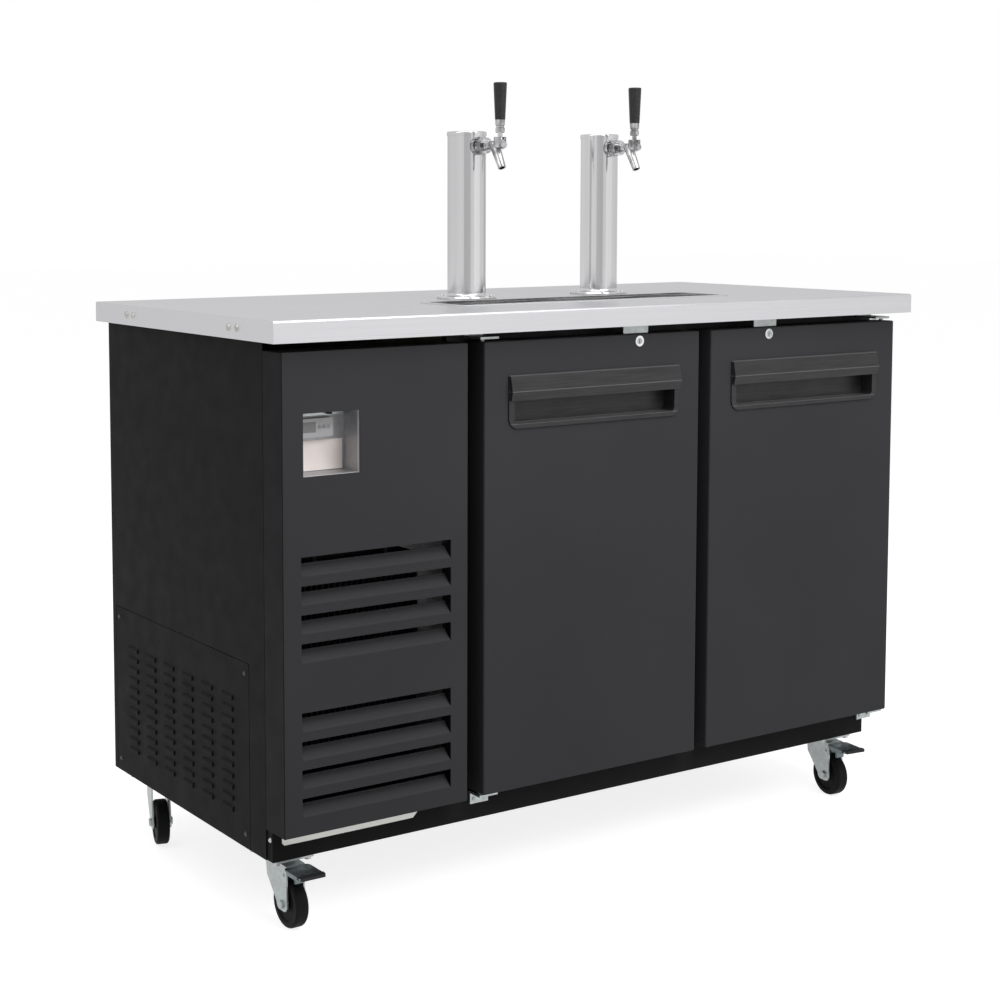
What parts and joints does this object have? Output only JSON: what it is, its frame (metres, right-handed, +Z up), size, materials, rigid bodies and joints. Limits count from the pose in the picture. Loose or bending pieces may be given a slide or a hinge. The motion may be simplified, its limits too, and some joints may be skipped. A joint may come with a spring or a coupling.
{
  "type": "keg cooler",
  "caption": "Long insulated keg cooler on casters with hinged doors, a louvred machine compartment, a stainless countertop with a drip tray, and draught columns with lever taps.",
  "frame": {"origin": "on the floor under the middle of the countertop, at the bottom centre of the object's box", "axes": "+X to the right as seen from the front, along the countertop; the front with the doors faces -Y; +Z up"},
  "size_m": [1.504, 0.711, 1.474],
  "materials": {
    "black_steel": "satin black painted steel",
    "charcoal_steel": "satin charcoal painted steel",
    "black_trim": "matt black moulded plastic",
    "foam": "rigid foam",
    "liner": "plain galvanised sheet",
    "door_liner": "white-grey moulded liner",
    "stainless": "brushed stainless steel",
    "grille_steel": "satin stainless steel",
    "chrome": "polished",
    "zinc": "zinc plated",
    "bare_metal": "mill finish",
    "control_grey": "satin grey moulding",
    "gasket": "soft grey-black",
    "handle_black": "semi-gloss black",
    "wheel_rubber": "matt black",
    "machine_black": "gloss black paint",
    "coil_aluminium": "bare fins",
    "fan_plastic": "moulded",
    "copper": "bare copper tube",
    "cover_white": "white painted sheet"
  },
  "bodies": {
    "cabinet": {"base_frame": "black_steel", "side_panels": "black_steel", "side_vent_cover": "black_steel", "back_panel": "black_steel", "insulation": "foam", "liner_panels": "liner", "door_frame": "black_trim", "countertop": "stainless", "countertop_core": "foam", "drip_tray": "stainless", "front_grille_panel": "charcoal_steel", "control_recess": "liner", "thermostat": "control_grey", "panel_bracket": "bare_metal", "strike_plates": "zinc", "hinge_brackets": "zinc", "cabinet_screws": "zinc", "compressor": "machine_black", "condenser_coil": "coil_aluminium", "fan_shroud": "machine_black", "condensate_pan": "fan_plastic", "refrigerant_lines": "copper", "evaporator_cover": "cover_white", "evaporator_coil": "coil_aluminium", "draught_columns": "chrome", "column_caps": "chrome", "faucet_shanks": "chrome", "faucet_bodies": "chrome", "caster_plates": "zinc"},
    "left_door": {"door_skin_left": "charcoal_steel", "door_core_left": "door_liner", "door_gasket_left": "gasket", "door_handle_left": "handle_black", "door_lock_left": "chrome"},
    "left_lock": {"lock_plug_left": "zinc"},
    "left_tap": {"tap_lever_left": "chrome", "tap_handle_left": "handle_black"},
    "left_valve": {"faucet_shaft_left": "chrome"},
    "right_door": {"door_skin_right": "charcoal_steel", "door_core_right": "door_liner", "door_gasket_right": "gasket", "door_handle_right": "handle_black", "door_lock_right": "chrome"},
    "right_lock": {"lock_plug_right": "zinc"},
    "right_tap": {"tap_lever_right": "chrome", "tap_handle_right": "handle_black"},
    "right_valve": {"faucet_shaft_right": "chrome"},
    "drip_grille": {"drip_grille": "grille_steel"},
    "condenser_fan": {"condenser_fan": "fan_plastic"},
    "evaporator_fan": {"evaporator_fan": "fan_plastic"},
    "caster_fork_front_left": {"caster_fork_front_left": "zinc"},
    "caster_wheel_front_left": {"caster_wheel_front_left": "wheel_rubber"},
    "caster_fork_front_right": {"caster_fork_front_right": "zinc"},
    "caster_wheel_front_right": {"caster_wheel_front_right": "wheel_rubber"},
    "caster_fork_rear_left": {"caster_fork_rear_left": "zinc"},
    "caster_wheel_rear_left": {"caster_wheel_rear_left": "wheel_rubber"},
    "caster_fork_rear_right": {"caster_fork_rear_right": "zinc"},
    "caster_wheel_rear_right": {"caster_wheel_rear_right": "wheel_rubber"},
    "caster_pedal_front_left": {"caster_pedal_front_left": "zinc"},
    "caster_pedal_front_right": {"caster_pedal_front_right": "zinc"}
  },
  "joints": [
    {"name": "left_door_hinge", "type": "hinge", "parent": "cabinet", "child": "left_door", "pos_m": [-0.302, -0.3095, 0.182], "axis": [0, 0, -1], "range_deg": [0, 100], "stiffness_Nm_per_rad": 3, "springref_deg": -85.94},
    {"name": "left_lock_turn", "type": "hinge", "parent": "left_door", "child": "left_lock", "pos_m": [0.04, -0.3335, 0.987], "axis": [0, -1, 0], "range_deg": [0, 90]},
    {"name": "left_tap_pull", "type": "hinge", "parent": "cabinet", "child": "left_tap", "pos_m": [-0.1, -0.085, 1.365], "axis": [1, 0, 0], "range_deg": [0, 35]},
    {"name": "left_valve_slide", "type": "slide", "parent": "cabinet", "child": "left_valve", "axis": [0, 1, 0], "range_m": [0, 0.0053]},
    {"name": "right_door_hinge", "type": "hinge", "parent": "cabinet", "child": "right_door", "pos_m": [0.712, -0.3095, 0.182], "axis": [0, 0, 1], "range_deg": [0, 100], "stiffness_Nm_per_rad": 3, "springref_deg": -85.94},
    {"name": "right_lock_turn", "type": "hinge", "parent": "right_door", "child": "right_lock", "pos_m": [0.37, -0.3335, 0.987], "axis": [0, -1, 0], "range_deg": [0, 90]},
    {"name": "right_tap_pull", "type": "hinge", "parent": "cabinet", "child": "right_tap", "pos_m": [0.235, -0.085, 1.365], "axis": [1, 0, 0], "range_deg": [0, 35]},
    {"name": "right_valve_slide", "type": "slide", "parent": "cabinet", "child": "right_valve", "axis": [0, 1, 0], "range_m": [0, 0.0053]},
    {"name": "drip_grille_lift", "type": "slide", "parent": "cabinet", "child": "drip_grille", "axis": [0, 0, 1], "range_m": [0, 0.08]},
    {"name": "condenser_fan_spin", "type": "hinge", "parent": "cabinet", "child": "condenser_fan", "pos_m": [-0.537, -0.132, 0.39], "axis": [0, 1, 0], "continuous": true},
    {"name": "evaporator_fan_spin", "type": "hinge", "parent": "cabinet", "child": "evaporator_fan", "pos_m": [-0.229, 0.0905, 0.815], "axis": [1, 0, 0], "continuous": true},
    {"name": "front_left_swivel", "type": "hinge", "parent": "cabinet", "child": "caster_fork_front_left", "pos_m": [-0.6775, -0.2355, 0.112], "axis": [0, 0, 1], "continuous": true},
    {"name": "front_left_wheel_spin", "type": "hinge", "parent": "caster_fork_front_left", "child": "caster_wheel_front_left", "pos_m": [-0.6775, -0.2715, 0.043], "axis": [1, 0, 0], "continuous": true},
    {"name": "front_right_swivel", "type": "hinge", "parent": "cabinet", "child": "caster_fork_front_right", "pos_m": [0.634, -0.2355, 0.112], "axis": [0, 0, 1], "continuous": true},
    {"name": "front_right_wheel_spin", "type": "hinge", "parent": "caster_fork_front_right", "child": "caster_wheel_front_right", "pos_m": [0.62961, -0.27123, 0.043], "axis": [0.9925, -0.1219, 0], "continuous": true},
    {"name": "rear_left_swivel", "type": "hinge", "parent": "cabinet", "child": "caster_fork_rear_left", "pos_m": [-0.6775, 0.2585, 0.112], "axis": [0, 0, 1], "continuous": true},
    {"name": "rear_left_wheel_spin", "type": "hinge", "parent": "caster_fork_rear_left", "child": "caster_wheel_rear_left", "pos_m": [-0.68802, 0.22407, 0.043], "axis": [0.9563, -0.2924, 0], "continuous": true},
    {"name": "rear_right_swivel", "type": "hinge", "parent": "cabinet", "child": "caster_fork_rear_right", "pos_m": [0.634, 0.2585, 0.112], "axis": [0, 0, 1], "continuous": true},
    {"name": "rear_right_wheel_spin", "type": "hinge", "parent": "caster_fork_rear_right", "child": "caster_wheel_rear_right", "pos_m": [0.62348, 0.22407, 0.043], "axis": [0.9563, -0.2924, 0], "continuous": true},
    {"name": "front_left_pedal_press", "type": "hinge", "parent": "caster_fork_front_left", "child": "caster_pedal_front_left", "pos_m": [-0.6775, -0.2795, 0.097], "axis": [1, 0, 0], "range_deg": [0, 15]},
    {"name": "front_right_pedal_press", "type": "hinge", "parent": "caster_fork_front_right", "child": "caster_pedal_front_right", "pos_m": [0.62864, -0.27917, 0.097], "axis": [0.9925, -0.1219, 0], "range_deg": [0, 15]}
  ],
  "couplings": [
    {"joint": "left_valve_slide", "follows": "left_tap_pull", "m_per_rad": 0.00845},
    {"joint": "right_valve_slide", "follows": "right_tap_pull", "m_per_rad": 0.00845}
  ]
}
